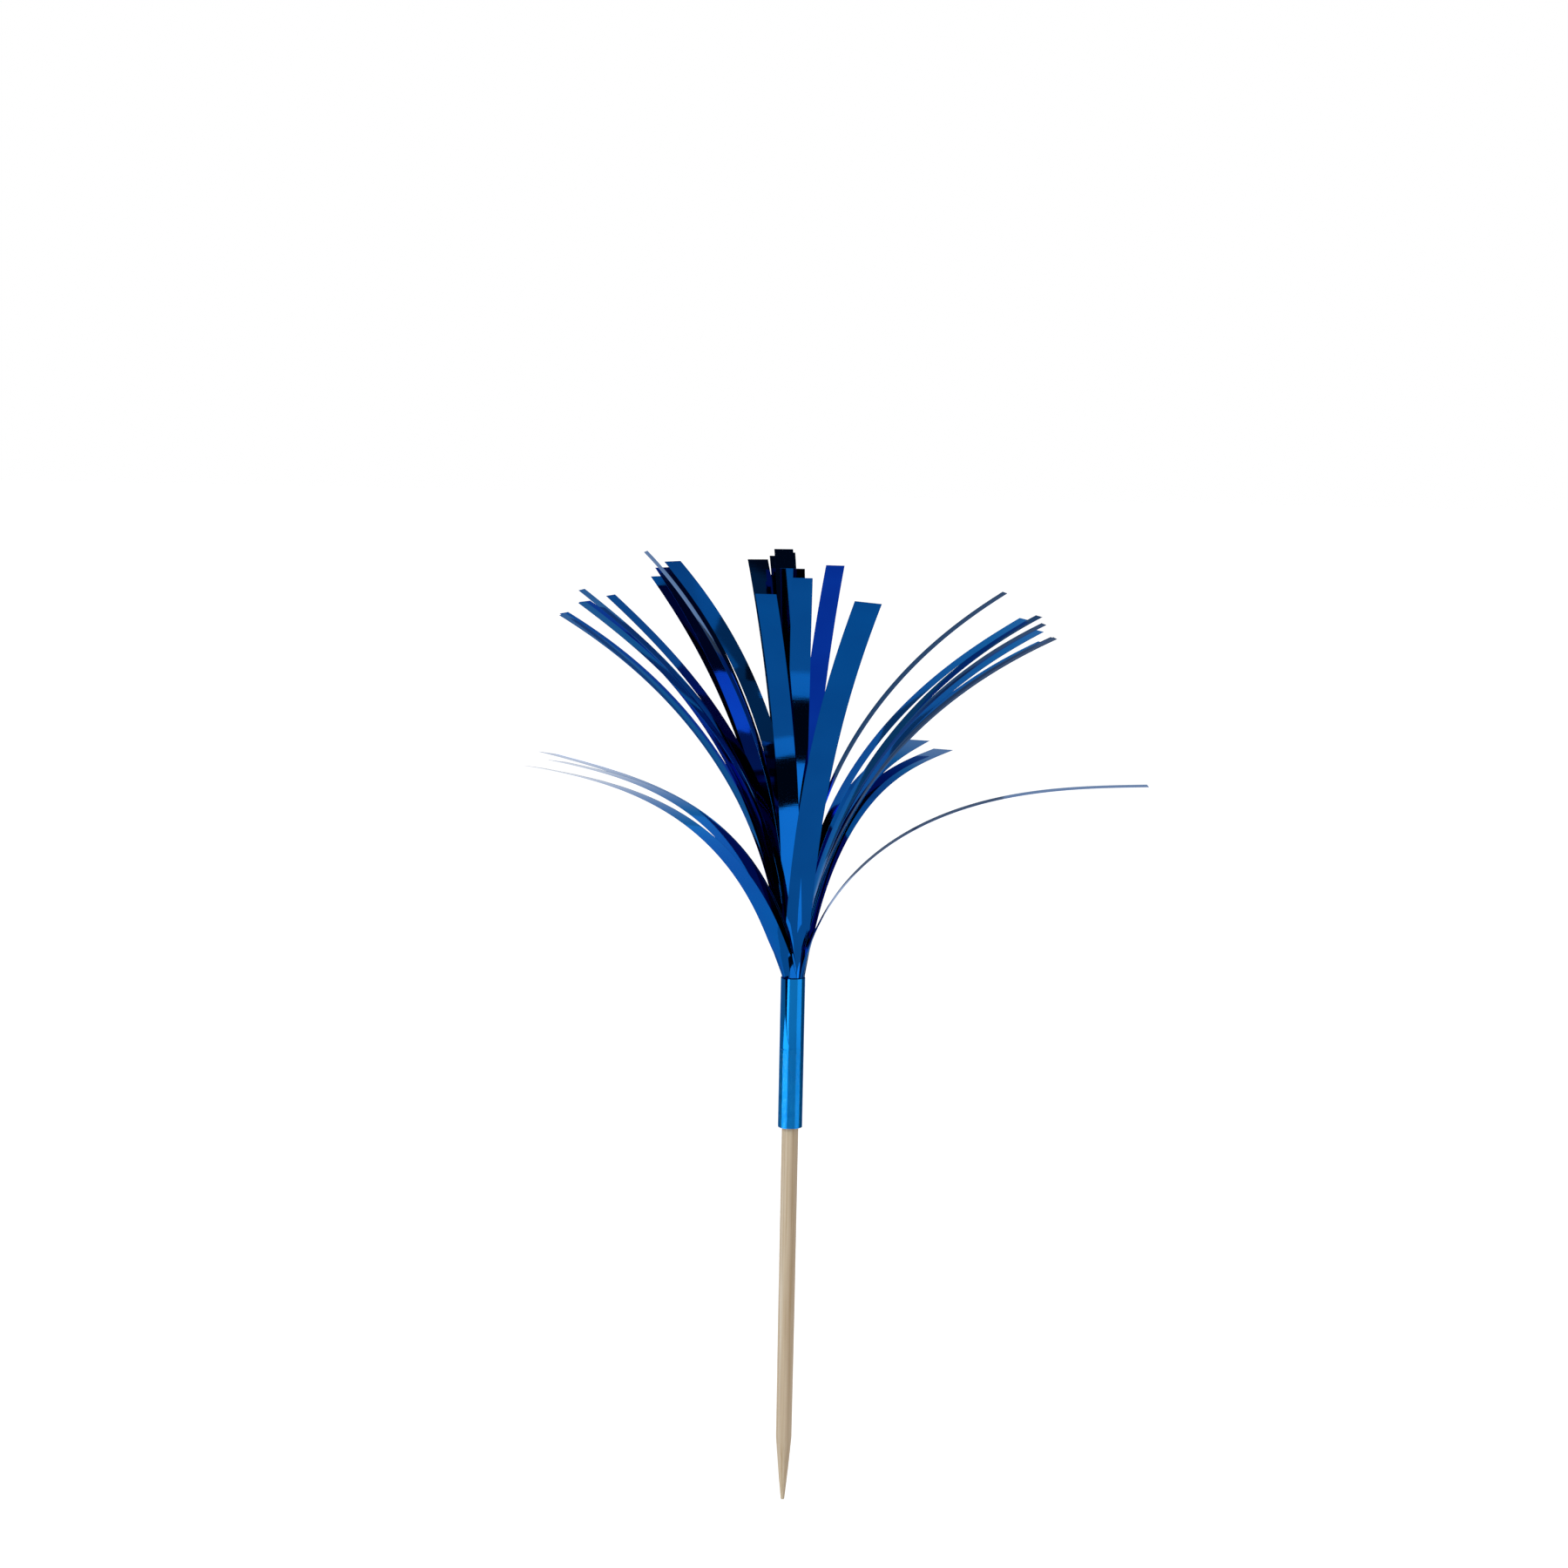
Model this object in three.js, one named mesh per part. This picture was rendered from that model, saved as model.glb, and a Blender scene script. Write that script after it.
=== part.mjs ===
// A cupcake topper: a burst of foil strands, rolled round the top of a wooden pick and held by clear tape.
// Millimetres, +Z up. The origin is the point of the pick, the front is -Y and the right is +X.
import * as THREE from 'three';

// The pick: a round cocktail stick, blunt at the top and tapered to a rounded point at the bottom
const PICK_LENGTH = 80;
const PICK_DIAMETER = 2.45;
const SHOULDER_DIAMETER = 2.34;
const TAPER_LENGTH = 9.8;
const POINT_DIAMETER = 0.56;
const POINT_ROUNDING = 0.16;
const TAPER_BULGE = 0.04;
const TAPER_STEPS = 5;
const TOP_CHAMFER = 0.15;

// The adhesive strip, wrapped nearly once round the pick, which the first turn of film sticks to
const ADHESIVE_HEIGHT = 12;
const ADHESIVE_THICKNESS = 0.06;
const ADHESIVE_RISE = 5;
const ADHESIVE_FROM = 20;
const ADHESIVE_TO = 350;

// The film: one sheet with an uncut header below and strands above, wound tight round the pick
const FILM_THICKNESS = 0.04;
const HEADER_HEIGHT = 22.5;
const STRAND_LENGTH = 67.7;
const STRAND_WIDTH = 3.4;
const NARROW_STRAND_WIDTH = 2.9;
const MEDIUM_STRAND_WIDTH = 3.2;
const BROAD_STRAND_WIDTH = 3.8;

// The free edge of the outermost turn, at the front left, which lifts off the roll above the tape
const EDGE_AZIMUTH = 239;
const FLAP_SPAN = 40;
const FLAP_LIFT = 0.3;
const EDGE_STEP = 1;

// The clear tape round the lower half of the roll, whose end laps over its start
const TAPE_WIDTH = 12;
const TAPE_THICKNESS = 0.05;
const TAPE_END_AZIMUTH = 188;
const TAPE_LAP = 70;

// Clearances between the wound layers, above the header's upper edge and between nested strands
const SEAT = 0.01;
const ROOT_GAP = 0.1;
const LAYER_GAP = 0.02;

// How a strand is drawn: how far round the roll its root reaches to each side, the steps across and along
// it, which crowd towards the root, the step by which neighbours have parted, and where its twist starts
const ROOT_HALF_ANGLE = 27;
const ACROSS_STEPS = 4;
const STRAND_STEPS = 12;
const STEP_CROWDING = 1.25;
const PARTING_STEP = 5;
const SUBSTEPS = 8;
const TWIST_START = 0.3;

// Facets round the pick and the sleeves, in degrees
const FACET = 10;
const FULL_TURN = 360;

// The strands by name. Heading runs anticlockwise from the right as seen from above, so 90 points away
// from the front. Root and tip are leans from upright in degrees. A bend of 1 is an even curve and a larger
// one curls more near the roll. Stay is the share of the length that stays straight, cut is the share of the
// full length that the strand was cut to, and twist turns the tip.
const STRANDS = [
  { name: 'low_left_1', heading: 230, root: 18, tip: 78, bend: 1.7 },
  { name: 'low_left_2', heading: 232, root: 12, tip: 77, bend: 1.8, cut: 0.98 },
  { name: 'low_left_3', heading: 228, root: 7, tip: 75, bend: 2, cut: 0.97 },
  { name: 'left_1', heading: 168, root: 0, tip: 60.5, bend: 1.2, cut: 0.97 },
  { name: 'left_2', heading: 162, root: 0, tip: 62, bend: 1.2, cut: 0.98 },
  { name: 'left_3', heading: 154, root: 0, tip: 62, bend: 1.1, cut: 0.99 },
  { name: 'left_4', heading: 166, root: 0, tip: 56, bend: 1.5, stay: 0.1, cut: 0.98 },
  { name: 'left_5', heading: 168, root: 0, tip: 54, bend: 1.5, stay: 0.1 },
  { name: 'left_6', heading: 160, root: 0, tip: 51, bend: 1.5, stay: 0.11, cut: 0.96 },
  { name: 'upper_left_1', heading: 174, root: 0, tip: 46, bend: 0.85, stay: 0.1 },
  { name: 'upper_left_2', heading: 132, root: 0, tip: 49, bend: 1.2 },
  { name: 'upper_left_3', heading: 130, root: 0, tip: 51.5, bend: 1.3 },
  { name: 'upper_left_4', heading: 136, root: 0, tip: 53, bend: 1.2, stay: 0.2, cut: 1.01 },
  { name: 'upper_left_5', heading: 128, root: 0, tip: 49, bend: 1.3 },
  { name: 'centre_1', heading: 103, root: 0, tip: 45, bend: 1.25, width: MEDIUM_STRAND_WIDTH },
  { name: 'centre_2', heading: 261, root: 2, tip: 46, bend: 1.3, width: NARROW_STRAND_WIDTH },
  { name: 'centre_3', heading: 96, root: 0, tip: 43, bend: 1, width: NARROW_STRAND_WIDTH },
  { name: 'centre_4', heading: 95, root: 0, tip: 45, bend: 1, width: NARROW_STRAND_WIDTH },
  { name: 'centre_5', heading: 97, root: 0, tip: 47, bend: 1, width: NARROW_STRAND_WIDTH },
  { name: 'centre_6', heading: 98, root: 0, tip: 50, bend: 1.4, width: MEDIUM_STRAND_WIDTH },
  { name: 'centre_7', heading: 267, root: 1, tip: 38, bend: 1.2 },
  { name: 'centre_8', heading: 270, root: 2, tip: 40, bend: 1.3, width: NARROW_STRAND_WIDTH },
  { name: 'centre_9', heading: 80, root: 0, tip: 48, bend: 1.2, width: NARROW_STRAND_WIDTH },
  { name: 'centre_10', heading: 286, root: 2, tip: 47, bend: 1.4, width: BROAD_STRAND_WIDTH, twist: -8 },
  { name: 'right_1', heading: 8, root: 0, tip: 57.5, bend: 1.2, stay: 0.15 },
  { name: 'right_2', heading: 16, root: 0, tip: 60.5, bend: 1.4, stay: 0.1, cut: 0.98 },
  { name: 'right_3', heading: 12, root: 0, tip: 62.5, bend: 1.1, cut: 0.99 },
  { name: 'right_4', heading: 8, root: 0, tip: 63.5, bend: 1.1, cut: 0.98 },
  { name: 'right_5', heading: 16, root: 0, tip: 63.5, bend: 1.2, cut: 0.97 },
  { name: 'right_6', heading: 18, root: 0, tip: 66.5, bend: 1.2, cut: 0.96 },
  { name: 'right_7', heading: 9, root: 0, tip: 65, bend: 1.2, cut: 0.97 },
  { name: 'right_8', heading: 5, root: 0, tip: 64.5, bend: 1.2, cut: 0.97 },
  { name: 'low_right_1', heading: 69, root: 8, tip: 85.5, bend: 2.1, cut: 0.98 },
  { name: 'low_right_2', heading: 65, root: 9, tip: 87, bend: 2.1, cut: 0.98 },
  { name: 'low_right_3', heading: 0, root: 4, tip: 88, bend: 1.85, width: NARROW_STRAND_WIDTH, cut: 0.94 },
];

// What follows from the sizes above
const widthOf = (strand) => strand.width ?? STRAND_WIDTH;
const lengthOf = (strand) => (strand.cut ?? 1) * STRAND_LENGTH;
const SHEET_WIDTH = STRANDS.reduce((sum, strand) => sum + widthOf(strand), 0);
const MOUTH_Z = PICK_LENGTH;
const HEADER_BOTTOM_Z = MOUTH_Z - HEADER_HEIGHT;
const TAPE_TOP_Z = HEADER_BOTTOM_Z + TAPE_WIDTH;
const ADHESIVE_INNER = PICK_DIAMETER / 2 + SEAT;
const ADHESIVE_OUTER = ADHESIVE_INNER + ADHESIVE_THICKNESS;
const ROLL_INNER = ADHESIVE_OUTER + SEAT;
const ROLL_OUTER = Math.sqrt(ROLL_INNER ** 2 + (SHEET_WIDTH * FILM_THICKNESS) / Math.PI);
const TAPE_INNER = ROLL_OUTER + SEAT;
const TAPE_OUTER = TAPE_INNER + TAPE_THICKNESS;

const WOOD = new THREE.MeshStandardMaterial({ color: 0xc8b08a, roughness: 0.75, metalness: 0 });
const FOIL = new THREE.MeshStandardMaterial({ color: 0x0a4ea6, roughness: 0.22, metalness: 0.9 });
const TAPE = new THREE.MeshStandardMaterial({ color: 0x9cc4e8, roughness: 0.15, metalness: 0 });
const ADHESIVE = new THREE.MeshStandardMaterial({ color: 0xd8d4c4, roughness: 0.6, metalness: 0 });

const radians = THREE.MathUtils.degToRad;

function onCircle(radius, degrees, z) {
  const angle = radians(degrees);
  return new THREE.Vector3(radius * Math.cos(angle), radius * Math.sin(angle), z);
}

function named(name, geometry, material) {
  const mesh = new THREE.Mesh(geometry, material);
  mesh.name = name;
  return mesh;
}

// A closed body lofted through sections. Each section has an outer and an inner rail with as many points.
// A closed loft runs back to its first section, and an open one is capped at both ends.
function loft(sections, closed) {
  const across = sections[0].outer.length;
  const positions = [];
  for (const { outer, inner } of sections) {
    for (const point of [...outer, ...inner]) {
      positions.push(point.x, point.y, point.z);
    }
  }
  const index = [];
  const quad = (a, b, c, d) => index.push(a, b, c, a, c, d);
  const outerAt = (s, j) => (s % sections.length) * 2 * across + j;
  const innerAt = (s, j) => outerAt(s, j) + across;
  const spans = closed ? sections.length : sections.length - 1;
  const last = across - 1;
  for (let s = 0; s < spans; s += 1) {
    for (let j = 0; j < last; j += 1) {
      quad(outerAt(s, j), outerAt(s + 1, j), outerAt(s + 1, j + 1), outerAt(s, j + 1));
      quad(innerAt(s, j), innerAt(s, j + 1), innerAt(s + 1, j + 1), innerAt(s + 1, j));
    }
    quad(outerAt(s, 0), innerAt(s, 0), innerAt(s + 1, 0), outerAt(s + 1, 0));
    quad(outerAt(s, last), outerAt(s + 1, last), innerAt(s + 1, last), innerAt(s, last));
  }
  if (!closed) {
    const end = sections.length - 1;
    for (let j = 0; j < last; j += 1) {
      quad(outerAt(0, j), outerAt(0, j + 1), innerAt(0, j + 1), innerAt(0, j));
      quad(outerAt(end, j), innerAt(end, j), innerAt(end, j + 1), outerAt(end, j + 1));
    }
  }
  const geometry = new THREE.BufferGeometry();
  geometry.setAttribute('position', new THREE.Float32BufferAttribute(positions, 3));
  geometry.setIndex(index);
  geometry.computeVertexNormals();
  return geometry;
}

// The facet corners from one azimuth up to another
function azimuths(from, to) {
  const list = [];
  for (let azimuth = from; azimuth < to; azimuth += FACET) {
    list.push(azimuth);
  }
  return list;
}

// A sleeve round the pick: a wall between two radii, over a list of heights
function sleeve(degreesList, heights, outerRadius, innerRadius, closed) {
  const sections = degreesList.map((degrees) => ({
    outer: heights.map((z) => onCircle(outerRadius(degrees, z), degrees, z)),
    inner: heights.map((z) => onCircle(innerRadius, degrees, z)),
  }));
  return loft(sections, closed);
}

function woodenPick() {
  const shoulder = SHOULDER_DIAMETER / 2;
  const point = POINT_DIAMETER / 2;
  const top = PICK_DIAMETER / 2;
  const profile = [new THREE.Vector2(0, 0), new THREE.Vector2(point / 2, POINT_ROUNDING / 4)];
  for (let k = 0; k <= TAPER_STEPS; k += 1) {
    const share = k / TAPER_STEPS;
    const radius = THREE.MathUtils.lerp(point, shoulder, share) + TAPER_BULGE * Math.sin(Math.PI * share);
    profile.push(new THREE.Vector2(radius, THREE.MathUtils.lerp(POINT_ROUNDING, TAPER_LENGTH, share)));
  }
  profile.push(new THREE.Vector2(top, PICK_LENGTH / 2));
  profile.push(new THREE.Vector2(top, PICK_LENGTH - TOP_CHAMFER));
  profile.push(new THREE.Vector2(top - TOP_CHAMFER, PICK_LENGTH));
  profile.push(new THREE.Vector2(0, PICK_LENGTH));
  const geometry = new THREE.LatheGeometry(profile, FULL_TURN / FACET);
  geometry.rotateX(Math.PI / 2);
  return named('wooden_pick', geometry, WOOD);
}

function adhesiveStrip() {
  const bottom = HEADER_BOTTOM_Z + ADHESIVE_RISE;
  const heights = [bottom, bottom + ADHESIVE_HEIGHT];
  const corners = [...azimuths(ADHESIVE_FROM, ADHESIVE_TO), ADHESIVE_TO];
  const strip = sleeve(corners, heights, () => ADHESIVE_OUTER, ADHESIVE_INNER, false);
  return named('adhesive_strip', strip, ADHESIVE);
}

// How far the outermost turn stands off the roll: the flap lifts from the tape's edge up to the mouth
function flapLift(degrees, z) {
  const along = (degrees - (EDGE_AZIMUTH - FLAP_SPAN)) / FLAP_SPAN;
  const height = (z - TAPE_TOP_Z) / (MOUTH_Z - TAPE_TOP_Z);
  if (along < 0 || along > 1 || height < 0) {
    return 0;
  }
  return FLAP_LIFT * height * along ** 2;
}

function filmRoll() {
  const corners = [...azimuths(0, FULL_TURN), EDGE_AZIMUTH, EDGE_AZIMUTH + EDGE_STEP];
  corners.sort((a, b) => a - b);
  const heights = [HEADER_BOTTOM_Z, TAPE_TOP_Z, (TAPE_TOP_Z + MOUTH_Z) / 2, MOUTH_Z];
  const outer = (degrees, z) => ROLL_OUTER + flapLift(degrees, z);
  return named('film_roll', sleeve(corners, heights, outer, ROLL_INNER, true), FOIL);
}

function clearTape() {
  const lapEnd = TAPE_END_AZIMUTH + TAPE_LAP;
  const corners = [...azimuths(0, FULL_TURN), TAPE_END_AZIMUTH, TAPE_END_AZIMUTH + EDGE_STEP];
  corners.push(lapEnd - EDGE_STEP, lapEnd);
  corners.sort((a, b) => a - b);
  const lapped = (degrees) => degrees > TAPE_END_AZIMUTH && degrees < lapEnd;
  const outer = (degrees) => TAPE_OUTER + (lapped(degrees) ? TAPE_THICKNESS : 0);
  const heights = [HEADER_BOTTOM_Z, TAPE_TOP_Z];
  return named('clear_tape', sleeve(corners, heights, outer, TAPE_INNER, true), TAPE);
}

// The lean of a strand at a share of its length
function leanAt(strand, share) {
  const stay = strand.stay ?? 0;
  const rest = Math.max(0, (share - stay) / (1 - stay));
  return radians(strand.root + (strand.tip - strand.root) * (1 - (1 - rest) ** strand.bend));
}

// The radius, height and lean of a strand's middle line at each of its steps
function middleLine(strand, rootRadius) {
  const line = [];
  let radius = rootRadius;
  let z = MOUTH_Z + ROOT_GAP;
  let travelled = 0;
  for (let k = 0; k <= STRAND_STEPS; k += 1) {
    const share = (k / STRAND_STEPS) ** STEP_CROWDING;
    const piece = (share - travelled) / SUBSTEPS;
    for (let i = 0; i < SUBSTEPS && k > 0; i += 1) {
      const lean = leanAt(strand, travelled + piece * (i + 1 / 2));
      radius += Math.sin(lean) * piece * lengthOf(strand);
      z += Math.cos(lean) * piece * lengthOf(strand);
    }
    travelled = share;
    line.push({ radius, z, share, lean: leanAt(strand, share) });
  }
  return line;
}

// One section across a strand. It follows the roll round near the root and flattens as it spreads.
function acrossStrand(strand, { radius, z, share, lean }) {
  const half = Math.min(ROOT_HALF_ANGLE, THREE.MathUtils.radToDeg(widthOf(strand) / 2 / radius));
  const centre = onCircle(radius, strand.heading, z);
  const tangent = onCircle(Math.sin(lean), strand.heading, Math.cos(lean));
  const turned = Math.max(0, (share - TWIST_START) / (1 - TWIST_START));
  const twist = radians(strand.twist ?? 0) * turned;
  const outer = [];
  const inner = [];
  for (let j = 0; j <= ACROSS_STEPS; j += 1) {
    const degrees = strand.heading + half * (1 - (2 * j) / ACROSS_STEPS);
    const normal = onCircle(Math.cos(lean), degrees, -Math.sin(lean));
    const point = onCircle(radius, degrees, z);
    for (const [rail, depth] of [[outer, 0], [inner, FILM_THICKNESS]]) {
      const moved = point.clone().addScaledVector(normal, -depth).sub(centre);
      rail.push(moved.applyAxisAngle(tangent, twist).add(centre));
    }
  }
  return { outer, inner };
}

// How many degrees apart two headings are
function apart(a, b) {
  const turn = Math.abs(a - b) % FULL_TURN;
  return Math.min(turn, FULL_TURN - turn);
}

// Each strand's layer in the roll: one outside every strand beside it that spreads more slowly
function layers() {
  const spread = new Map(STRANDS.map((strand) => [strand, middleLine(strand, 0)[PARTING_STEP].radius]));
  const layer = new Map();
  for (const strand of [...STRANDS].sort((a, b) => spread.get(a) - spread.get(b))) {
    const under = [...layer].filter(([other]) => apart(other.heading, strand.heading) < 2 * ROOT_HALF_ANGLE);
    layer.set(strand, Math.max(-1, ...under.map(([, depth]) => depth)) + 1);
  }
  return layer;
}

function foilStrands() {
  const layer = layers();
  return STRANDS.map((strand) => {
    const rootRadius = ROLL_INNER + FILM_THICKNESS + layer.get(strand) * (FILM_THICKNESS + LAYER_GAP);
    const sections = middleLine(strand, rootRadius).map((step) => acrossStrand(strand, step));
    return named(`strand_${strand.name}`, loft(sections, false), FOIL);
  });
}

const topper = new THREE.Group();
topper.add(woodenPick(), adhesiveStrip(), filmRoll(), clearTape(), ...foilStrands());

export default topper;
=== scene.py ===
import math

import bpy
from mathutils import Matrix, Vector


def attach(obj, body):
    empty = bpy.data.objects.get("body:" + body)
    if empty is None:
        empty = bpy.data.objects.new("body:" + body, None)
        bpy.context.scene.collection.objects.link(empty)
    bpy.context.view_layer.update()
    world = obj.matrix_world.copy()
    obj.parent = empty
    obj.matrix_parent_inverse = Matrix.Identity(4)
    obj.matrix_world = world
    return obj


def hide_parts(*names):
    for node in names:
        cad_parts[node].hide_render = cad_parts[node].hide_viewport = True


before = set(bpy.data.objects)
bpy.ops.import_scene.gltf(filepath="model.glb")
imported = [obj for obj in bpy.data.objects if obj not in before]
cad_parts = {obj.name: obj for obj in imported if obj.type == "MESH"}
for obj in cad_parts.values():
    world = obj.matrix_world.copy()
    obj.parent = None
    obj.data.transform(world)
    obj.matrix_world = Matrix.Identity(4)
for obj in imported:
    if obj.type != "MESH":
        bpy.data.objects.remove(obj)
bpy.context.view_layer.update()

# A foil-burst cupcake topper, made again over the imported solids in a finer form. Sizes are in millimetres
# where they don't say otherwise, +Z is up the pick, the front is -Y and the right is +X.
MM = 0.001
FULL_TURN = 360

# camera
# The photograph's view: 7.5 degrees down, 490 mm from a point on the topper, rolled a little.
CAMERA_DISTANCE = 490 * MM
CAMERA_DROP = math.radians(7.5)
CAMERA_ROLL = math.radians(1.15)
CAMERA_LENS = 76.78
SENSOR_WIDTH = 36
CLIP_NEAR = 0.01
CLIP_FAR = 100
AIM = Vector((-1.92 * MM, 0, 108.75 * MM))


def make_camera():
    data = bpy.data.cameras.new("photo_camera")
    data.lens = CAMERA_LENS
    data.sensor_width = SENSOR_WIDTH
    data.clip_start = CLIP_NEAR
    data.clip_end = CLIP_FAR
    camera = bpy.data.objects.new("photo_camera", data)
    bpy.context.scene.collection.objects.link(camera)
    forward = Vector((0, math.cos(CAMERA_DROP), -math.sin(CAMERA_DROP)))
    level = Vector((1, 0, 0))
    up = level.cross(forward)
    right = level * math.cos(CAMERA_ROLL) + up * math.sin(CAMERA_ROLL)
    top = up * math.cos(CAMERA_ROLL) - level * math.sin(CAMERA_ROLL)
    turn = Matrix((right, top, -forward)).transposed()
    camera.matrix_world = Matrix.Translation(AIM - forward * CAMERA_DISTANCE) @ turn.to_4x4()
    bpy.context.scene.camera = camera


make_camera()
bpy.context.scene.view_settings.view_transform = "Standard"

# pick sizes
PICK_LENGTH = 80
PICK_RADIUS = 1.225
SHOULDER_RADIUS = 1.17
TAPER_LENGTH = 9.8
POINT_RADIUS = 0.28
POINT_ROUNDING = 0.2
TAPER_BULGE = 0.04
TOP_CHAMFER = 0.15
PICK_SIDES = 56
POINT_STEPS = 4
TAPER_STEPS = 12
# The shank's rings, and where it has swelled from the shoulder to its full radius, as shares of its length
SHANK_RINGS = (0.02, 0.1, 0.3, 0.55, 0.8)
SHANK_SWELL = 0.3

# roll sizes
MOUTH_Z = 80
HEADER_BOTTOM_Z = 57.5
TAPE_TOP_Z = 69.5
ROLL_INNER = 1.305
ROLL_OUTER = 1.83
TURN_PITCH = 0.0404
FILM = 0.024
ROLL_STEP = 7.5
# The roll's rings are closest where the free edge runs away from its upright line.
ROLL_HEIGHTS = (HEADER_BOTTOM_Z, 60, 63, 66, 68, TAPE_TOP_Z, 70, 70.5, 71, 72, 73.5, 75, 77, 79, MOUTH_Z)
# The free edge lifts over the flap's span, more towards the mouth, and runs on by the skew towards the tape.
EDGE_AZIMUTH = 239
EDGE_SKEW = 24
SKEW_POWER = 5
FLAP_SPAN = 46
FLAP_LIFT = 0.42
LIFT_POWER = 1.2

# tape sizes
TAPE_INNER = 1.842
TAPE_THICKNESS = 0.045
TAPE_START_AZIMUTH = 188
TAPE_LAP = 70
TAPE_ROWS = 44
TAPE_STEPS = 120
# The end climbs on to the start over CLIMB degrees, from CLIMB_FROM degrees after the start.
CLIMB_FROM = 345
CLIMB = 20
LAP_GAP = 0.008
# The cutter's teeth are four rows wide and shape the last twelfth of the tape.
TOOTH = 0.55
TOOTH_ROWS = 4
TOOTHED_PART = 12

# strand sizes
STRAND_LENGTH = 68.2
STRAND_WIDTH = 3.4
NARROW = 2.9
MEDIUM = 3.2
BROAD = 3.8
ROOT_DEPTH = 0.4
STRAND_STEPS = 60
FINE_STEPS = 4
ACROSS_STEPS = 6
TWIST_START = 0.3
# A strand leaves the roll curved across as the roll is, up to CURVED_TO of its length, and is nearly flat
# from FLAT_FROM on. At its root it reaches round the roll by at most the half angle to each side.
ROOT_HALF_ANGLE = 58
FLATTENING = 6
CURVED_TO = 0.07
FLAT_FROM = 0.3
# Strands whose headings differ by less than the parting angle lie in layers. The nudge keeps strands of one
# layer that cross further out clear of each other.
PARTING_ANGLE = 54
PARTING_STEP = STRAND_STEPS // 3
LAYER_PITCH = 0.03
LAYER_NUDGE = 0.0015
NUDGES = 5

# The strands by name. Heading runs anticlockwise from the right as seen from above, and root and tip are
# leans from upright, in degrees. A bend of 1 is an even curve and a larger one curls more near the roll.
# Stay is the share of the length that stays straight, cut is the share of the full length that the strand
# was cut to, and twist turns the tip.
STRANDS = {
    "low_left_1": dict(heading=230, root=18, tip=78, bend=1.7),
    "low_left_2": dict(heading=232, root=12, tip=77, bend=1.8, cut=0.98),
    "low_left_3": dict(heading=228, root=7, tip=75, bend=2, cut=0.97),
    "left_1": dict(heading=168, root=0, tip=60.5, bend=1.2, cut=0.97),
    "left_2": dict(heading=162, root=0, tip=62, bend=1.2, cut=0.98),
    "left_3": dict(heading=154, root=0, tip=62, bend=1.1, cut=0.99),
    "left_4": dict(heading=166, root=0, tip=56, bend=1.5, stay=0.1, cut=0.98),
    "left_5": dict(heading=168, root=0, tip=54, bend=1.5, stay=0.1),
    "left_6": dict(heading=160, root=0, tip=51, bend=1.5, stay=0.11, cut=0.96),
    "upper_left_1": dict(heading=174, root=0, tip=46, bend=0.85, stay=0.1),
    "upper_left_2": dict(heading=132, root=0, tip=49, bend=1.2),
    "upper_left_3": dict(heading=130, root=0, tip=51.5, bend=1.3),
    "upper_left_4": dict(heading=136, root=0, tip=53, bend=1.2, stay=0.2, cut=1.01),
    "upper_left_5": dict(heading=128, root=0, tip=49, bend=1.3),
    "centre_1": dict(heading=103, root=0, tip=45, bend=1.25, width=MEDIUM),
    "centre_2": dict(heading=261, root=2, tip=46, bend=1.3, width=NARROW),
    "centre_3": dict(heading=96, root=0, tip=43, bend=1, width=NARROW),
    "centre_4": dict(heading=95, root=0, tip=45, bend=1, width=NARROW),
    "centre_5": dict(heading=97, root=0, tip=47, bend=1, width=NARROW),
    "centre_6": dict(heading=98, root=0, tip=50, bend=1.4, width=MEDIUM),
    "centre_7": dict(heading=267, root=1, tip=38, bend=1.2),
    "centre_8": dict(heading=270, root=2, tip=40, bend=1.3, width=NARROW),
    "centre_9": dict(heading=80, root=0, tip=48, bend=1.2, width=NARROW),
    "centre_10": dict(heading=286, root=2, tip=47, bend=1.4, width=BROAD, twist=-8),
    "right_1": dict(heading=8, root=0, tip=57.5, bend=1.2, stay=0.15),
    "right_2": dict(heading=16, root=0, tip=60.5, bend=1.4, stay=0.1, cut=0.98),
    "right_3": dict(heading=12, root=0, tip=62.5, bend=1.1, cut=0.99),
    "right_4": dict(heading=8, root=0, tip=63.5, bend=1.1, cut=0.98),
    "right_5": dict(heading=16, root=0, tip=63.5, bend=1.2, cut=0.97),
    "right_6": dict(heading=18, root=0, tip=66.5, bend=1.2, cut=0.96),
    "right_7": dict(heading=9, root=0, tip=65, bend=1.2, cut=0.97),
    "right_8": dict(heading=5, root=0, tip=64.5, bend=1.2, cut=0.97),
    "low_right_1": dict(heading=69, root=8, tip=85.5, bend=2.1, cut=0.98),
    "low_right_2": dict(heading=65, root=9, tip=87, bend=2.1, cut=0.98),
    "low_right_3": dict(heading=0, root=4, tip=88, bend=1.85, width=NARROW, cut=0.94),
}


# node helpers
def new_material(name):
    """A material with one Principled shader, which is returned with it."""
    material = bpy.data.materials.new(name)
    material.use_nodes = True
    material.node_tree.nodes.clear()
    shader = add(material, "ShaderNodeBsdfPrincipled")
    add(material, "ShaderNodeOutputMaterial", {"Surface": shader.outputs[0]})
    return material, shader


def add(owner, kind, inputs=(), **settings):
    """A node in a material or a world, with settings, and inputs linked to sockets or set to values."""
    node = owner.node_tree.nodes.new(kind)
    for key, value in settings.items():
        setattr(node, key, value)
    for key, value in dict(inputs).items():
        if isinstance(value, bpy.types.NodeSocket):
            owner.node_tree.links.new(value, node.inputs[key])
        else:
            node.inputs[key].default_value = value
    return node


def noise(material, vector, scale, detail):
    """A noise from 0 to 1 on a vector."""
    node = add(material, "ShaderNodeTexNoise", {"Vector": vector, "Scale": scale, "Detail": detail})
    return node.outputs[0]


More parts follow.
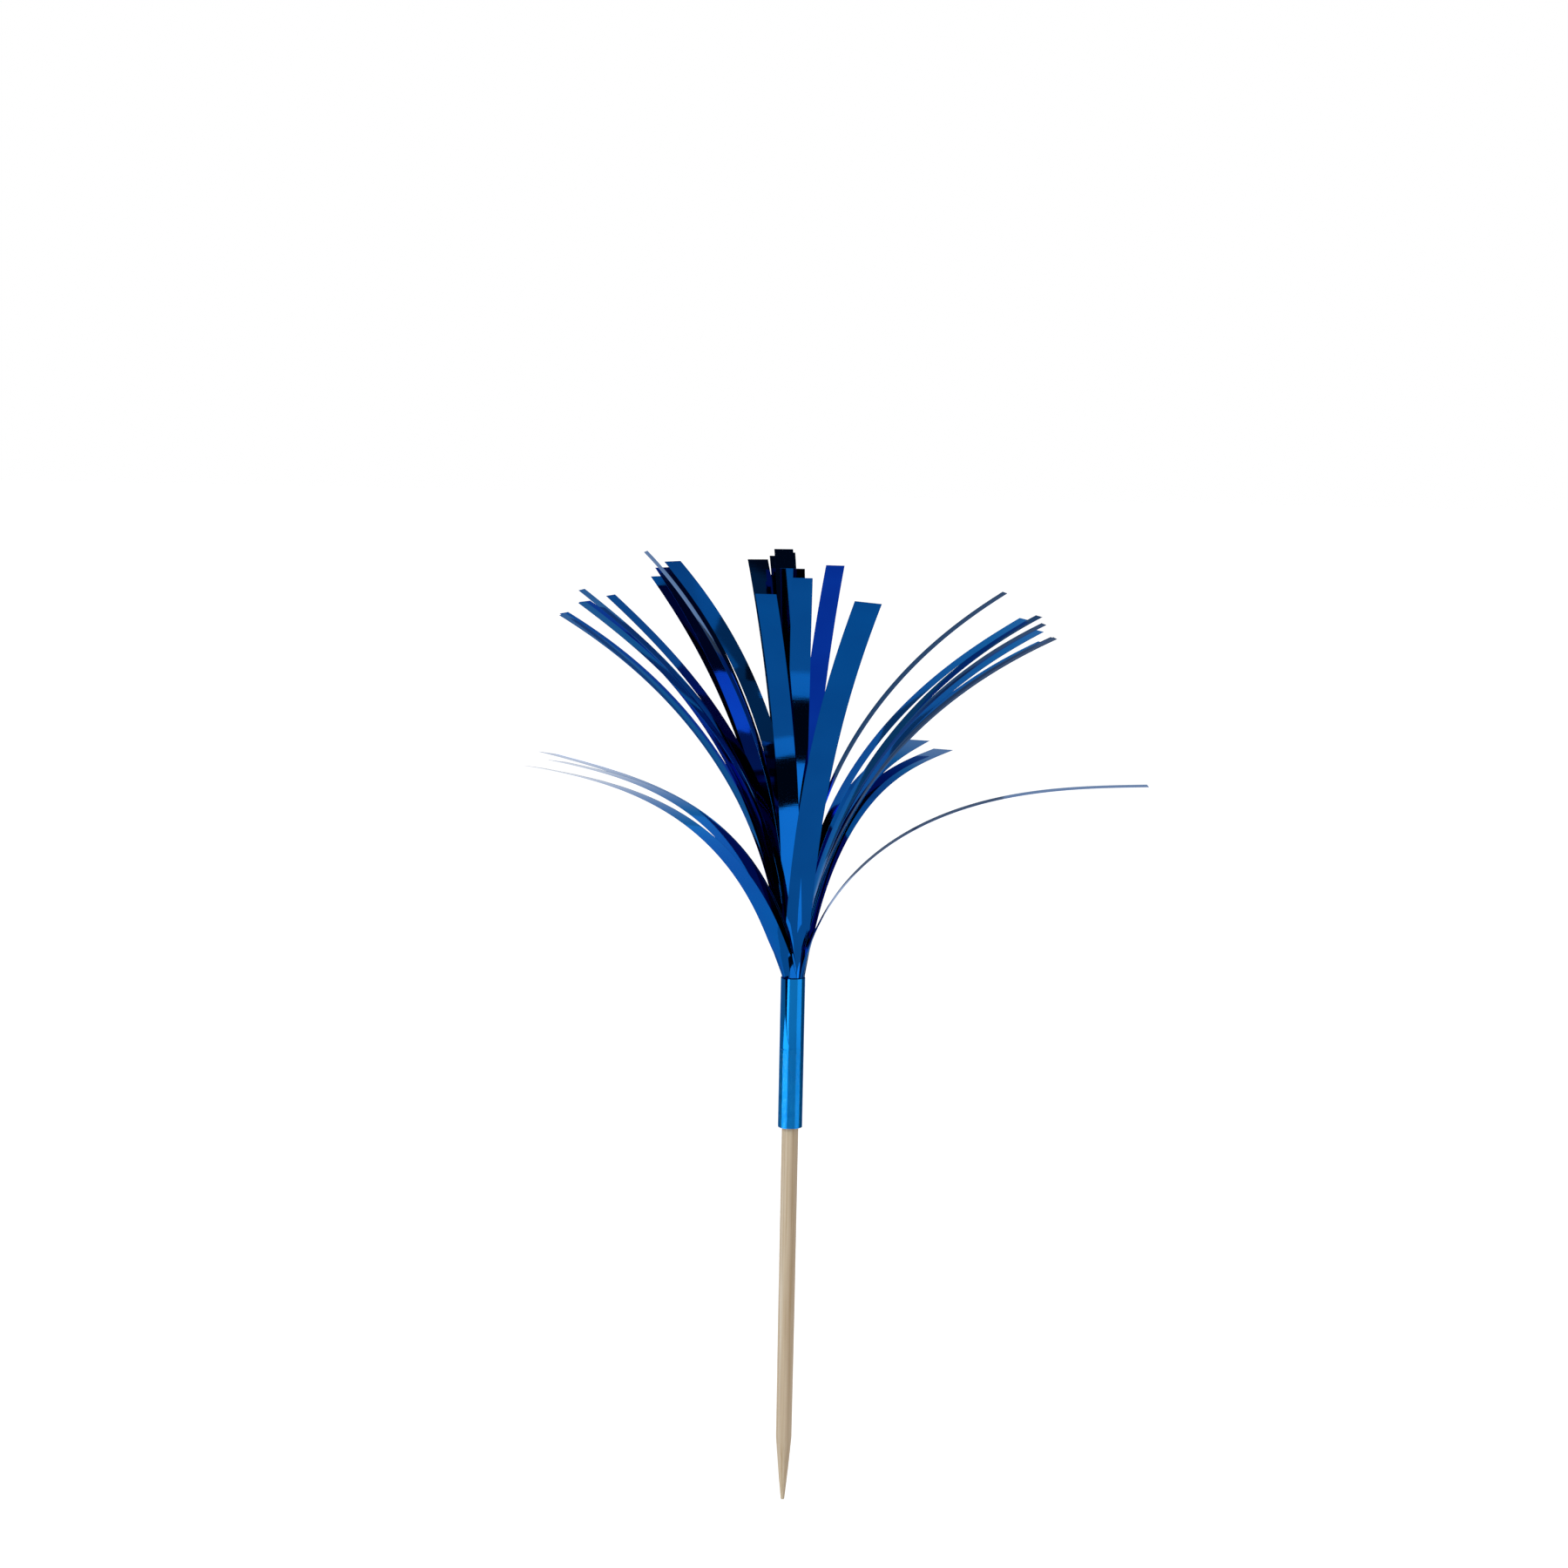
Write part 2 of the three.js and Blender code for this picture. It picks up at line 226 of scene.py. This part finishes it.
def stretched(material, vector, scale):
    """A vector with its three axes scaled."""
    return add(material, "ShaderNodeMapping", {0: vector, "Scale": scale}).outputs[0]


def bumped(material, shader, height, strength, distance):
    """Bump on a shader, from a height and a depth in millimetres."""
    inputs = {"Strength": strength, "Distance": distance * MM, "Height": height}
    bump = add(material, "ShaderNodeBump", inputs)
    material.node_tree.links.new(bump.outputs[0], shader.inputs["Normal"])


def ramp(material, factor, stops):
    """Colours by a factor from 0 to 1. The stops are places and linear colours."""
    node = add(material, "ShaderNodeValToRGB", {0: factor})
    elements = node.color_ramp.elements
    while len(elements) < len(stops):
        elements.new(0.5)
    for element, (place, colour) in zip(elements, stops):
        element.position = place
        element.color = (*colour, 1)
    return node.outputs[0]


def spread(material, value, low, high):
    """A value from 0 to 1, spread from low to high."""
    node = add(material, "ShaderNodeMapRange", {"Value": value, "To Min": low, "To Max": high})
    return node.outputs[0]


def multiplied(material, below, above, share):
    """A colour multiplied by another one, as far as the share says."""
    node = add(material, "ShaderNodeMix", {"Factor": share}, data_type="RGBA", blend_type="MULTIPLY")
    material.node_tree.links.new(below, node.inputs["A"])
    material.node_tree.links.new(above, node.inputs["B"])
    return node.outputs["Result"]


def linear(red, green, blue):
    """A colour as seen on a screen, 0 to 255, as the shader needs it."""
    out = []
    for part in (red, green, blue):
        c = part / 255
        out.append(c / 12.92 if c <= 0.04045 else ((c + 0.055) / 1.055) ** 2.4)
    return tuple(out)


# materials
# The film's mirror turns steel blue where it is seen nearly edge-on.
EDGE_TINT = (0.34, 0.52, 0.78)
FOIL_METALLIC = 1
FOIL_ROUGHNESS = (0.02, 0.07)
ROLL_ROUGHNESS = (0.13, 0.19)
LACQUER = 0.03
LACQUER_ROUGHNESS = 0.08
TAPE_ALPHA = 0.03
TAPE_GLOSS = 0.2
ADHESIVE_ROUGHNESS = 0.6


def foil_material(name, dark, bright, roughness=FOIL_ROUGHNESS):
    """Metallised film: a blue mirror under clear lacquer, with fine lines across the strand."""
    material, shader = new_material(name)
    uv = add(material, "ShaderNodeUVMap", uv_map="film").outputs[0]
    lines = noise(material, stretched(material, uv, (0.25, 5, 1)), 1, 4)
    clouds = noise(material, uv, 0.12, 2)
    tint = ramp(material, clouds, [(0.3, dark), (0.7, bright)])
    links = material.node_tree.links
    links.new(tint, shader.inputs["Base Color"])
    links.new(spread(material, lines, *roughness), shader.inputs["Roughness"])
    bumped(material, shader, lines, 0.06, 0.02)
    shader.inputs["Metallic"].default_value = FOIL_METALLIC
    shader.inputs["Specular Tint"].default_value = (*EDGE_TINT, 1)
    shader.inputs["Coat Weight"].default_value = LACQUER
    shader.inputs["Coat Roughness"].default_value = LACQUER_ROUGHNESS
    return material


def wood_material():
    """Pale cocktail-stick wood: fine grain along the pick and small dark flecks, with painted light that
    makes it paler on the left and browner on the right.
    """
    material, shader = new_material("pick_wood")
    place = add(material, "ShaderNodeTexCoord").outputs["Object"]
    grain = noise(material, stretched(material, place, (2600, 2600, 45)), 1, 5)
    bands = noise(material, stretched(material, place, (900, 900, 14)), 1, 3)
    spots = noise(material, stretched(material, place, (900, 900, 130)), 1, 2)
    pale = ramp(material, grain, [(0.3, linear(209, 192, 166)), (0.5, linear(229, 221, 207)),
                                  (0.75, linear(244, 241, 234))])
    # Painted light: across the pick the colour runs from white on the left to browner on the right, as if
    # lit from the left.
    rightward = add(material, "ShaderNodeSeparateXYZ", {"Vector": place}).outputs["X"]
    across = add(material, "ShaderNodeMapRange", {"Value": rightward, "From Min": -PICK_RADIUS * MM,
                                                  "From Max": PICK_RADIUS * MM}).outputs[0]
    side = ramp(material, across, [(0.15, (1, 1, 1)), (0.38, (1, 0.96, 0.87)), (0.62, (0.86, 0.75, 0.62)),
                                   (0.9, (0.9, 0.79, 0.67))])
    tone = ramp(material, bands, [(0.3, linear(214, 188, 152)), (0.7, linear(250, 244, 232))])
    flecks = ramp(material, spots, [(0.24, linear(120, 84, 50)), (0.3, (1, 1, 1))])
    wood = multiplied(material, pale, side, 1)
    wood = multiplied(material, wood, tone, 0.55)
    wood = multiplied(material, wood, flecks, 0.6)
    links = material.node_tree.links
    links.new(wood, shader.inputs["Base Color"])
    links.new(spread(material, grain, 0.75, 0.55), shader.inputs["Roughness"])
    bumped(material, shader, grain, 0.35, 0.06)
    return material


def tape_material():
    """Clear tape, nearly unseen on the film: a faint blue haze with streaks along the tape."""
    material, shader = new_material("clear_tape_film")
    place = add(material, "ShaderNodeTexCoord").outputs["Object"]
    streaks = noise(material, stretched(material, place, (300, 300, 1500)), 1, 3)
    tint = ramp(material, streaks, [(0.35, (0.002, 0.3, 0.8)), (0.65, (0.01, 0.5, 0.9))])
    links = material.node_tree.links
    links.new(tint, shader.inputs["Base Color"])
    links.new(spread(material, streaks, 0.03, 0.1), shader.inputs["Roughness"])
    bumped(material, shader, streaks, 0.15, 0.02)
    shader.inputs["Specular IOR Level"].default_value = TAPE_GLOSS
    shader.inputs["Alpha"].default_value = TAPE_ALPHA
    return material


def adhesive_material():
    """Cream adhesive strip, a little mottled."""
    material, shader = new_material("adhesive_film")
    place = add(material, "ShaderNodeTexCoord").outputs["Object"]
    tint = ramp(material, noise(material, place, 900, 3),
                [(0.35, linear(206, 200, 184)), (0.65, linear(228, 224, 212))])
    material.node_tree.links.new(tint, shader.inputs["Base Color"])
    shader.inputs["Roughness"].default_value = ADHESIVE_ROUGHNESS
    return material


FOIL = foil_material("royal_blue_foil", (0.0005, 0.056, 0.235), (0.001, 0.064, 0.26))
# The same film again in a darker, deeper blue, as painted shade.
SHADED_DEEP_FOIL = foil_material("shaded_deep_blue_foil", (0.0004, 0.022, 0.26), (0.0008, 0.03, 0.3))
ROLL_FOIL = foil_material("rolled_blue_foil", (0.0005, 0.066, 0.21), (0.001, 0.078, 0.235), ROLL_ROUGHNESS)
# These strands look a deeper royal blue than the others, and get a darker copy of the same film: painted
# shade for the dimmer reflections they catch among the other strands.
SHADED_DEEP_STRANDS = ("centre_6", "centre_9", "left_2", "left_3", "upper_left_2")

# mesh helpers
SHARP_ANGLE = 35


def on_circle(radius, degrees, z):
    angle = math.radians(degrees)
    return Vector((radius * math.cos(angle), radius * math.sin(angle), z))


def make_piece(name, points, faces, material, nodes, uvs=None):
    """A mesh piece, from points in millimetres, that rides on the root body and stands for CAD nodes."""
    mesh = bpy.data.meshes.new(name)
    mesh.from_pydata([tuple(p * MM) for p in points], [], faces)
    if uvs:
        layer = mesh.uv_layers.new(name="film")
        for loop in mesh.loops:
            layer.data[loop.index].uv = uvs[loop.vertex_index]
    mesh.materials.append(material)
    mesh.shade_smooth()
    mesh.set_sharp_from_angle(angle=math.radians(SHARP_ANGLE))
    piece = bpy.data.objects.new(name, mesh)
    bpy.context.scene.collection.objects.link(piece)
    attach(piece, "root")
    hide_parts(*nodes)


def loft(sections):
    """Points and faces of a closed body through sections, each an outer and an inner rail of points."""
    across = len(sections[0][0])
    points = [p for outer, inner in sections for p in (*outer, *inner)]
    faces = []

    def outer_at(s, j):
        return s * 2 * across + j

    def inner_at(s, j):
        return outer_at(s, j) + across

    last = across - 1
    end = len(sections) - 1
    for s in range(end):
        for j in range(last):
            faces.append((outer_at(s, j), outer_at(s + 1, j), outer_at(s + 1, j + 1), outer_at(s, j + 1)))
            faces.append((inner_at(s, j), inner_at(s, j + 1), inner_at(s + 1, j + 1), inner_at(s + 1, j)))
        faces.append((outer_at(s, 0), inner_at(s, 0), inner_at(s + 1, 0), outer_at(s + 1, 0)))
        faces.append((outer_at(s, last), outer_at(s + 1, last), inner_at(s + 1, last), inner_at(s, last)))
    for j in range(last):
        faces.append((outer_at(0, j), outer_at(0, j + 1), inner_at(0, j + 1), inner_at(0, j)))
        faces.append((outer_at(end, j), inner_at(end, j), inner_at(end, j + 1), outer_at(end, j + 1)))
    return points, faces


# pick
def pick_profile():
    """Radius and height of each ring, from the point of the pick to its top."""
    profile = []
    for k in range(POINT_STEPS + 1):
        turn = math.radians(90 * k / POINT_STEPS)
        profile.append((POINT_RADIUS * math.sin(turn), POINT_ROUNDING * (1 - math.cos(turn))))
    for k in range(1, TAPER_STEPS + 1):
        share = k / TAPER_STEPS
        radius = POINT_RADIUS + (SHOULDER_RADIUS - POINT_RADIUS) * share
        radius += TAPER_BULGE * math.sin(math.pi * share)
        profile.append((radius, POINT_ROUNDING + (TAPER_LENGTH - POINT_ROUNDING) * share))
    for share in SHANK_RINGS:
        z = TAPER_LENGTH + (PICK_LENGTH - TAPER_LENGTH) * share
        radius = PICK_RADIUS - (PICK_RADIUS - SHOULDER_RADIUS) * max(0, 1 - share / SHANK_SWELL)
        profile.append((radius, z))
    profile.append((PICK_RADIUS, PICK_LENGTH - TOP_CHAMFER))
    profile.append((PICK_RADIUS - TOP_CHAMFER, PICK_LENGTH))
    return profile


def make_pick():
    """A turned stick: a rounded point, a slightly full taper, a long shank and a chamfered top."""
    rings = pick_profile()[1:]
    points = [Vector((0, 0, 0))]
    for radius, z in rings:
        for k in range(PICK_SIDES):
            points.append(on_circle(radius, FULL_TURN * k / PICK_SIDES, z))
    faces = []
    for k in range(PICK_SIDES):
        after = (k + 1) % PICK_SIDES
        faces.append((0, 1 + after, 1 + k))
        for ring in range(len(rings) - 1):
            low = 1 + ring * PICK_SIDES
            high = low + PICK_SIDES
            faces.append((low + k, low + after, high + after, high + k))
    top = 1 + (len(rings) - 1) * PICK_SIDES
    faces.append(tuple(top + k for k in range(PICK_SIDES)))
    make_piece("pick", points, faces, wood_material(), ["wooden_pick"])


# roll and tape
def make_roll():
    """The header, wound from the pick outwards, with the last turn's free edge lifting above the tape."""
    degrees_in_all = round((ROLL_OUTER - ROLL_INNER) / TURN_PITCH * FULL_TURN)
    first = EDGE_AZIMUTH - degrees_in_all
    count = math.ceil(degrees_in_all / ROLL_STEP)
    sections = []
    uvs = []
    for k in range(count + 1):
        share = k / count
        base = ROLL_INNER + FILM + (ROLL_OUTER - ROLL_INNER - FILM) * share
        outer, inner = [], []
        for z in ROLL_HEIGHTS:
            height = max(0, (z - TAPE_TOP_Z) / (MOUTH_Z - TAPE_TOP_Z))
            edge = EDGE_AZIMUTH + EDGE_SKEW * (1 - height) ** SKEW_POWER
            azimuth = first + (edge - first) * share
            along = max(0, (azimuth - (edge - FLAP_SPAN)) / FLAP_SPAN)
            radius = base + FLAP_LIFT * height ** LIFT_POWER * along ** 2
            outer.append(on_circle(radius, azimuth, z))
            inner.append(on_circle(radius - FILM, azimuth, z))
        sections.append((outer, inner))
        uvs += [(z, math.radians(degrees_in_all * share) * base) for z in ROLL_HEIGHTS] * 2
    points, faces = loft(sections)
    make_piece("header_roll", points, faces, ROLL_FOIL, ["film_roll"], uvs)


def make_tape():
    """Clear tape wound once and a bit round the roll, with the cutter's teeth at its end."""
    rise = (TAPE_TOP_Z - HEADER_BOTTOM_Z) / TAPE_ROWS
    sections = []
    for k in range(TAPE_STEPS + 1):
        share = k / TAPE_STEPS
        turned = (FULL_TURN + TAPE_LAP) * share
        climbed = min(1, max(0, (turned - CLIMB_FROM) / CLIMB))
        radius = TAPE_INNER + TAPE_THICKNESS + (TAPE_THICKNESS + LAP_GAP) * climbed
        near_end = max(0, 1 - (1 - share) * TOOTHED_PART)
        outer, inner = [], []
        for row in range(TAPE_ROWS + 1):
            tooth = TOOTH * abs((row / TOOTH_ROWS) % 1 - 0.5) * 2
            azimuth = TAPE_START_AZIMUTH + turned - math.degrees(tooth * near_end / radius)
            z = HEADER_BOTTOM_Z + rise * row
            outer.append(on_circle(radius, azimuth, z))
            inner.append(on_circle(radius - TAPE_THICKNESS, azimuth, z))
        sections.append((outer, inner))
    points, faces = loft(sections)
    make_piece("tape", points, faces, tape_material(), ["clear_tape"])


def dress_adhesive():
    """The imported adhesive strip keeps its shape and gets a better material."""
    material = adhesive_material()
    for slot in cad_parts["adhesive_strip"].material_slots:
        slot.material = material


# strands
def lean_at(strand, share):
    """Lean from upright at a share of a strand's length, in radians."""
    stay = strand.get("stay", 0)
    rest = min(1, max(0, (share - stay) / (1 - stay)))
    lean = strand["root"] + (strand["tip"] - strand["root"]) * (1 - (1 - rest) ** strand["bend"])
    return math.radians(lean)


def length_of(strand):
    return strand.get("cut", 1) * STRAND_LENGTH


def middle_line(strand, root_radius):
    """Radius, height, share and lean along a strand's middle line."""
    line = []
    radius, z = root_radius, MOUTH_Z - ROOT_DEPTH
    step = length_of(strand) / STRAND_STEPS / FINE_STEPS
    for k in range(STRAND_STEPS + 1):
        share = k / STRAND_STEPS
        line.append((radius, z, share, lean_at(strand, share)))
        for i in range(FINE_STEPS):
            lean = lean_at(strand, share + (i + 0.5) / FINE_STEPS / STRAND_STEPS)
            radius += math.sin(lean) * step
            z += math.cos(lean) * step
    return line


def layers():
    """Each strand's layer in the roll: one outside every strand beside it that spreads more slowly."""
    order = sorted(STRANDS, key=lambda name: middle_line(STRANDS[name], 0)[PARTING_STEP][0])
    layer = {}
    for name in order:
        heading = STRANDS[name]["heading"]
        under = [-1]
        for other, depth in layer.items():
            turn = abs(STRANDS[other]["heading"] - heading) % FULL_TURN
            if min(turn, FULL_TURN - turn) < PARTING_ANGLE:
                under.append(depth)
        layer[name] = max(under) + 1
    return layer


def make_strand(name, strand, root_radius):
    """A strip of film along its middle line, curved across at the roll and nearly flat further out."""
    width = strand.get("width", STRAND_WIDTH)
    heading = strand["heading"]
    radial = on_circle(1, heading, 0)
    sections, uvs = [], []
    for radius, z, share, lean in middle_line(strand, root_radius):
        flat = min(1, max(0, (share - CURVED_TO) / (FLAT_FROM - CURVED_TO)))
        arc_radius = radius * (1 + FLATTENING * flat)
        half = min(math.radians(ROOT_HALF_ANGLE), width / 2 / arc_radius)
        middle = radial * radius + Vector((0, 0, z))
        tangent = on_circle(math.sin(lean), heading, math.cos(lean))
        turned = max(0, (share - TWIST_START) / (1 - TWIST_START))
        twist = Matrix.Rotation(math.radians(strand.get("twist", 0)) * turned, 3, tangent)
        outer, inner = [], []
        for j in range(ACROSS_STEPS + 1):
            side = 1 - 2 * j / ACROSS_STEPS
            degrees = heading + math.degrees(half * side)
            normal = on_circle(math.cos(lean), degrees, -math.sin(lean))
            offset = on_circle(arc_radius, degrees, 0) - radial * arc_radius
            outer.append(middle + twist @ offset)
            inner.append(middle + twist @ (offset - normal * FILM))
        sections.append((outer, inner))
        along = share * length_of(strand)
        uvs += [(width / 2 * (1 - 2 * j / ACROSS_STEPS), along) for j in range(ACROSS_STEPS + 1)] * 2
    points, faces = loft(sections)
    # Strands in the shaded list take the darker copy of the film, which is painted shade.
    foil = SHADED_DEEP_FOIL if name in SHADED_DEEP_STRANDS else FOIL
    make_piece(f"foil_{name}", points, faces, foil, [f"strand_{name}"], uvs)


def make_strands():
    layer = layers()
    for index, (name, strand) in enumerate(STRANDS.items()):
        root_radius = ROLL_INNER + FILM + layer[name] * LAYER_PITCH + LAYER_NUDGE * (index % NUDGES)
        make_strand(name, strand, root_radius)


# studio, in metres
FLOOR_Z = -0.12
FLOOR_HALF = 6
FLOOR_GREY = 0.8
FLOOR_ROUGHNESS = 0.9
FLOOR_GLOSS = 0.1
FLOOR_LIFT = 0.62
MIRROR_CENTRE = Vector((0, 0, 0.11))
WORLD_FILL = 0.55
LAMP_PLACE = (-0.9, -0.7, 0.9)
LAMP_AIM = Vector((0, 0, 0.08))
LAMP_WATTS = 6
LAMP_SIZE = 0.6
# Heights over the mirror centre: panels above and below, and patches that hang just under the upper panels.
ABOVE = 1.5
BELOW = -1.5
PATCH_ABOVE = 1.48
CARD_DISTANCE = 1.6
NEAR_CARD_DISTANCE = 1.5


def make_stage(name, corners, material):
    """One flat face that isn't part of the object."""
    mesh = bpy.data.meshes.new(name)
    mesh.from_pydata([tuple(corner) for corner in corners], [], [(0, 1, 2, 3)])
    mesh.materials.append(material)
    stage = bpy.data.objects.new(name, mesh)
    bpy.context.scene.collection.objects.link(stage)
    return stage


def make_floor():
    """A pale floor that is white to the camera and keeps the topper's shadow."""
    material, shader = new_material("floor_white")
    shader.inputs["Base Color"].default_value = (FLOOR_GREY, FLOOR_GREY, FLOOR_GREY, 1)
    shader.inputs["Roughness"].default_value = FLOOR_ROUGHNESS
    shader.inputs["Specular IOR Level"].default_value = FLOOR_GLOSS
    shader.inputs["Emission Color"].default_value = (1, 1, 1, 1)
    seen = add(material, "ShaderNodeLightPath").outputs["Is Camera Ray"]
    lift = add(material, "ShaderNodeMath", {0: seen, 1: FLOOR_LIFT}, operation="MULTIPLY").outputs[0]
    material.node_tree.links.new(lift, shader.inputs["Emission Strength"])
    corners = [(a * FLOOR_HALF, b * FLOOR_HALF, FLOOR_Z) for a, b in ((-1, -1), (1, -1), (1, 1), (-1, 1))]
    floor = make_stage("floor", corners, material)
    floor.visible_glossy = False


def make_reflection(name, corners, level):
    """A glowing face that only reflections and what is seen through the tape show."""
    material = bpy.data.materials.new(name)
    material.use_nodes = True
    material.node_tree.nodes.clear()
    glow = add(material, "ShaderNodeEmission", {"Color": (level, level, level, 1)})
    add(material, "ShaderNodeOutputMaterial", {"Surface": glow.outputs[0]})
    stage = make_stage(name, corners, material)
    stage.visible_camera = False
    stage.visible_diffuse = False
    stage.visible_shadow = False
    stage.visible_volume_scatter = False


def make_panel(name, height, left, right, near, far, level):
    """A level panel for reflections. Its sides are shares of its height over or under the mirror centre."""
    reach = abs(height)
    corners = [MIRROR_CENTRE + Vector((x * reach, y * reach, height))
               for x, y in ((left, near), (right, near), (right, far), (left, far))]
    make_reflection(name, corners, level)


def make_card(name, heading, rise, wide, tall, level, distance=CARD_DISTANCE):
    """A card for reflections, square on to the topper. Wide and tall are angles in degrees."""
    out = on_circle(math.cos(math.radians(rise)), heading, math.sin(math.radians(rise)))
    side = on_circle(1, heading + 90, 0)
    up = out.cross(side)
    half_wide = math.tan(math.radians(wide / 2)) * distance
    half_tall = math.tan(math.radians(tall / 2)) * distance
    corners = [MIRROR_CENTRE + out * distance + side * a * half_wide + up * b * half_tall
               for a, b in ((-1, -1), (1, -1), (1, 1), (-1, 1))]
    make_reflection(name, corners, level)


def make_world():
    """White to the camera, in mirrors and through the tape, and dimmer where it lights the topper."""
    world = bpy.data.worlds.new("studio")
    bpy.context.scene.world = world
    world.use_nodes = True
    world.node_tree.nodes.clear()
    path = add(world, "ShaderNodeLightPath").outputs
    seen = path["Is Camera Ray"]
    for ray in ("Is Glossy Ray", "Is Transmission Ray"):
        seen = add(world, "ShaderNodeMath", {0: seen, 1: path[ray]}, operation="MAXIMUM").outputs[0]
    back = add(world, "ShaderNodeBackground", {"Strength": spread(world, seen, WORLD_FILL, 1)})
    back.inputs["Color"].default_value = (1, 1, 1, 1)
    add(world, "ShaderNodeOutputWorld", {"Surface": back.outputs[0]})


def make_lamp():
    """A soft lamp at the front left."""
    data = bpy.data.lights.new("left_softbox", "AREA")
    data.energy = LAMP_WATTS
    data.size = LAMP_SIZE
    lamp = bpy.data.objects.new("left_softbox", data)
    bpy.context.scene.collection.objects.link(lamp)
    lamp.location = LAMP_PLACE
    lamp.rotation_mode = "QUATERNION"
    lamp.rotation_quaternion = (Vector(LAMP_PLACE) - LAMP_AIM).to_track_quat("Z", "Y")


def make_reflections():
    """What the film mirrors, laid out so that each strand shows the light and dark of the photograph."""
    make_panel("dark_ceiling_middle", ABOVE, left=0.07, right=0.23, near=-0.85, far=0.72, level=0.03)
    make_panel("dim_ceiling_middle", ABOVE, left=0.23, right=0.45, near=-0.85, far=0.72, level=0.16)
    make_panel("dark_ceiling_right", ABOVE, left=0.45, right=1.2, near=-0.85, far=0.6, level=0.04)
    make_panel("dim_ceiling_right", ABOVE, left=1.2, right=3, near=-0.85, far=0.72, level=0.25)
    make_panel("bright_ceiling_patch", PATCH_ABOVE, left=0.95, right=1.35, near=0.14, far=0.34, level=1.7)
    make_panel("dim_ceiling_patch", PATCH_ABOVE, left=0.78, right=1.2, near=0.44, far=0.6, level=0.3)
    make_panel("dark_strip_below", BELOW, left=-0.48, right=0.14, near=-0.655, far=-0.41, level=0.02)
    make_panel("bright_front_below", BELOW, left=-1.2, right=0.22, near=-2.8, far=-0.655, level=2.4)
    make_panel("bright_strip_below", BELOW, left=-0.48, right=0.14, near=-0.41, far=-0.33, level=1.8)
    make_card("dim_right_back", heading=62, rise=25, wide=60, tall=44, level=0.8)
    make_card("dim_back", heading=102, rise=9, wide=26, tall=20, level=0.35)
    make_card("bright_low_left", heading=209, rise=-12, wide=54, tall=14, level=7)
    make_card("bright_low_front", heading=269, rise=-12, wide=86, tall=14, level=2)
    make_card("bright_low_right", heading=338, rise=-12, wide=48, tall=14, level=3.6)
    make_card("dim_low_right", heading=30, rise=-12, wide=56, tall=14, level=0.5)
    make_card("dim_back_patch", heading=76.5, rise=1.5, wide=8, tall=8, level=0.15,
              distance=NEAR_CARD_DISTANCE)
    make_card("bright_back_below", heading=136, rise=-45, wide=50, tall=24, level=1.5)


make_pick()
make_roll()
make_tape()
dress_adhesive()
make_strands()
make_floor()
make_world()
make_lamp()
make_reflections()
